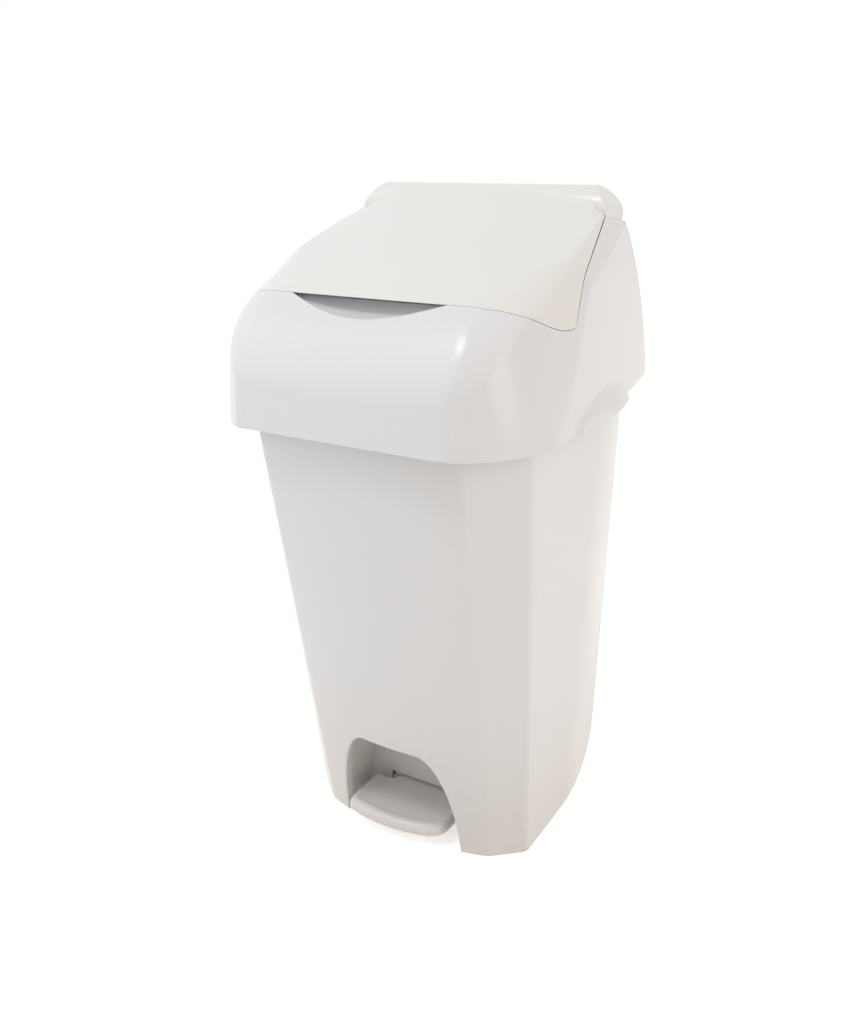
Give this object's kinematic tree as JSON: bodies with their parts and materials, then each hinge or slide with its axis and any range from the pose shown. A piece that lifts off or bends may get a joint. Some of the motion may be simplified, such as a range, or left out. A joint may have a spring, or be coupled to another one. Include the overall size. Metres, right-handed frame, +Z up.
{
  "type": "pedal nappy bin",
  "caption": "Tall tapered pedal bin for used nappies, with a lift-off hood, a sloping hinged flap, a finger scoop and a foot pedal in a front recess.",
  "frame": {"origin": "under the middle of the overall box, on the ground", "axes": "+Z up, -Y towards the pedal and the front of the bin, +X towards the side seen in the picture, on the right of a person facing the front"},
  "size_m": [0.359, 0.4551, 0.718],
  "materials": {
    "shell_white": "glossy moulded plastic, white",
    "flap_cream": "glossy moulded plastic, warm white",
    "rubber": "matt black rubber",
    "nylon": "natural nylon",
    "steel": "plated steel"
  },
  "bodies": {
    "tub": {"tub_shell": "shell_white", "base_plate": "shell_white", "foot_front_left": "rubber", "foot_front_right": "rubber", "foot_rear_left": "rubber", "foot_rear_right": "rubber", "base_screws": "steel", "axle_bearing_left": "nylon", "axle_bearing_right": "nylon", "pedal_axle": "steel", "axle_clip_left": "steel", "axle_clip_right": "steel", "pedal_buffers": "rubber", "rod_guide_tube": "steel", "rod_bush_lower": "nylon", "rod_bush_upper": "nylon", "guide_clip_lower": "nylon", "guide_clip_upper": "nylon", "bag_ring": "shell_white"},
    "pedal": {"foot_pedal": "shell_white", "pedal_lever": "steel", "lever_screws": "steel"},
    "rod": {"push_rod": "steel", "rod_tip": "nylon", "rod_foot": "nylon"},
    "hood": {"hood_shell": "shell_white", "hood_tray": "shell_white", "tray_screws": "steel", "rim_gasket": "rubber", "hinge_bracket_left": "steel", "hinge_bracket_right": "steel", "bracket_screws": "steel", "hinge_rod": "steel", "rod_cap_left": "nylon", "rod_cap_right": "nylon", "lid_buffer_left": "rubber", "lid_buffer_right": "rubber"},
    "lid": {"lid_flap": "flap_cream", "lid_liner": "shell_white", "liner_screws": "steel"}
  },
  "joints": [
    {"name": "lid_hinge", "type": "hinge", "parent": "hood", "child": "lid", "pos_m": [0, 0.0635, 0.694], "axis": [-1, 0, 0], "range_deg": [0, 60]},
    {"name": "pedal_press", "type": "hinge", "parent": "tub", "child": "pedal", "pos_m": [0, -0.052, 0.024], "axis": [1, 0, 0], "range_deg": [0, 10.48]},
    {"name": "rod_lift", "type": "slide", "parent": "tub", "child": "rod", "axis": [0, 0, 1], "range_m": [0, 0.0178]},
    {"name": "hood_lift", "type": "slide", "parent": "tub", "child": "hood", "axis": [0, 0, 1], "range_m": [0, 0.12]}
  ],
  "couplings": [
    {"joint": "pedal_press", "follows": "lid_hinge", "ratio": 0.17475},
    {"joint": "rod_lift", "follows": "lid_hinge", "m_per_rad": 0.017}
  ]
}
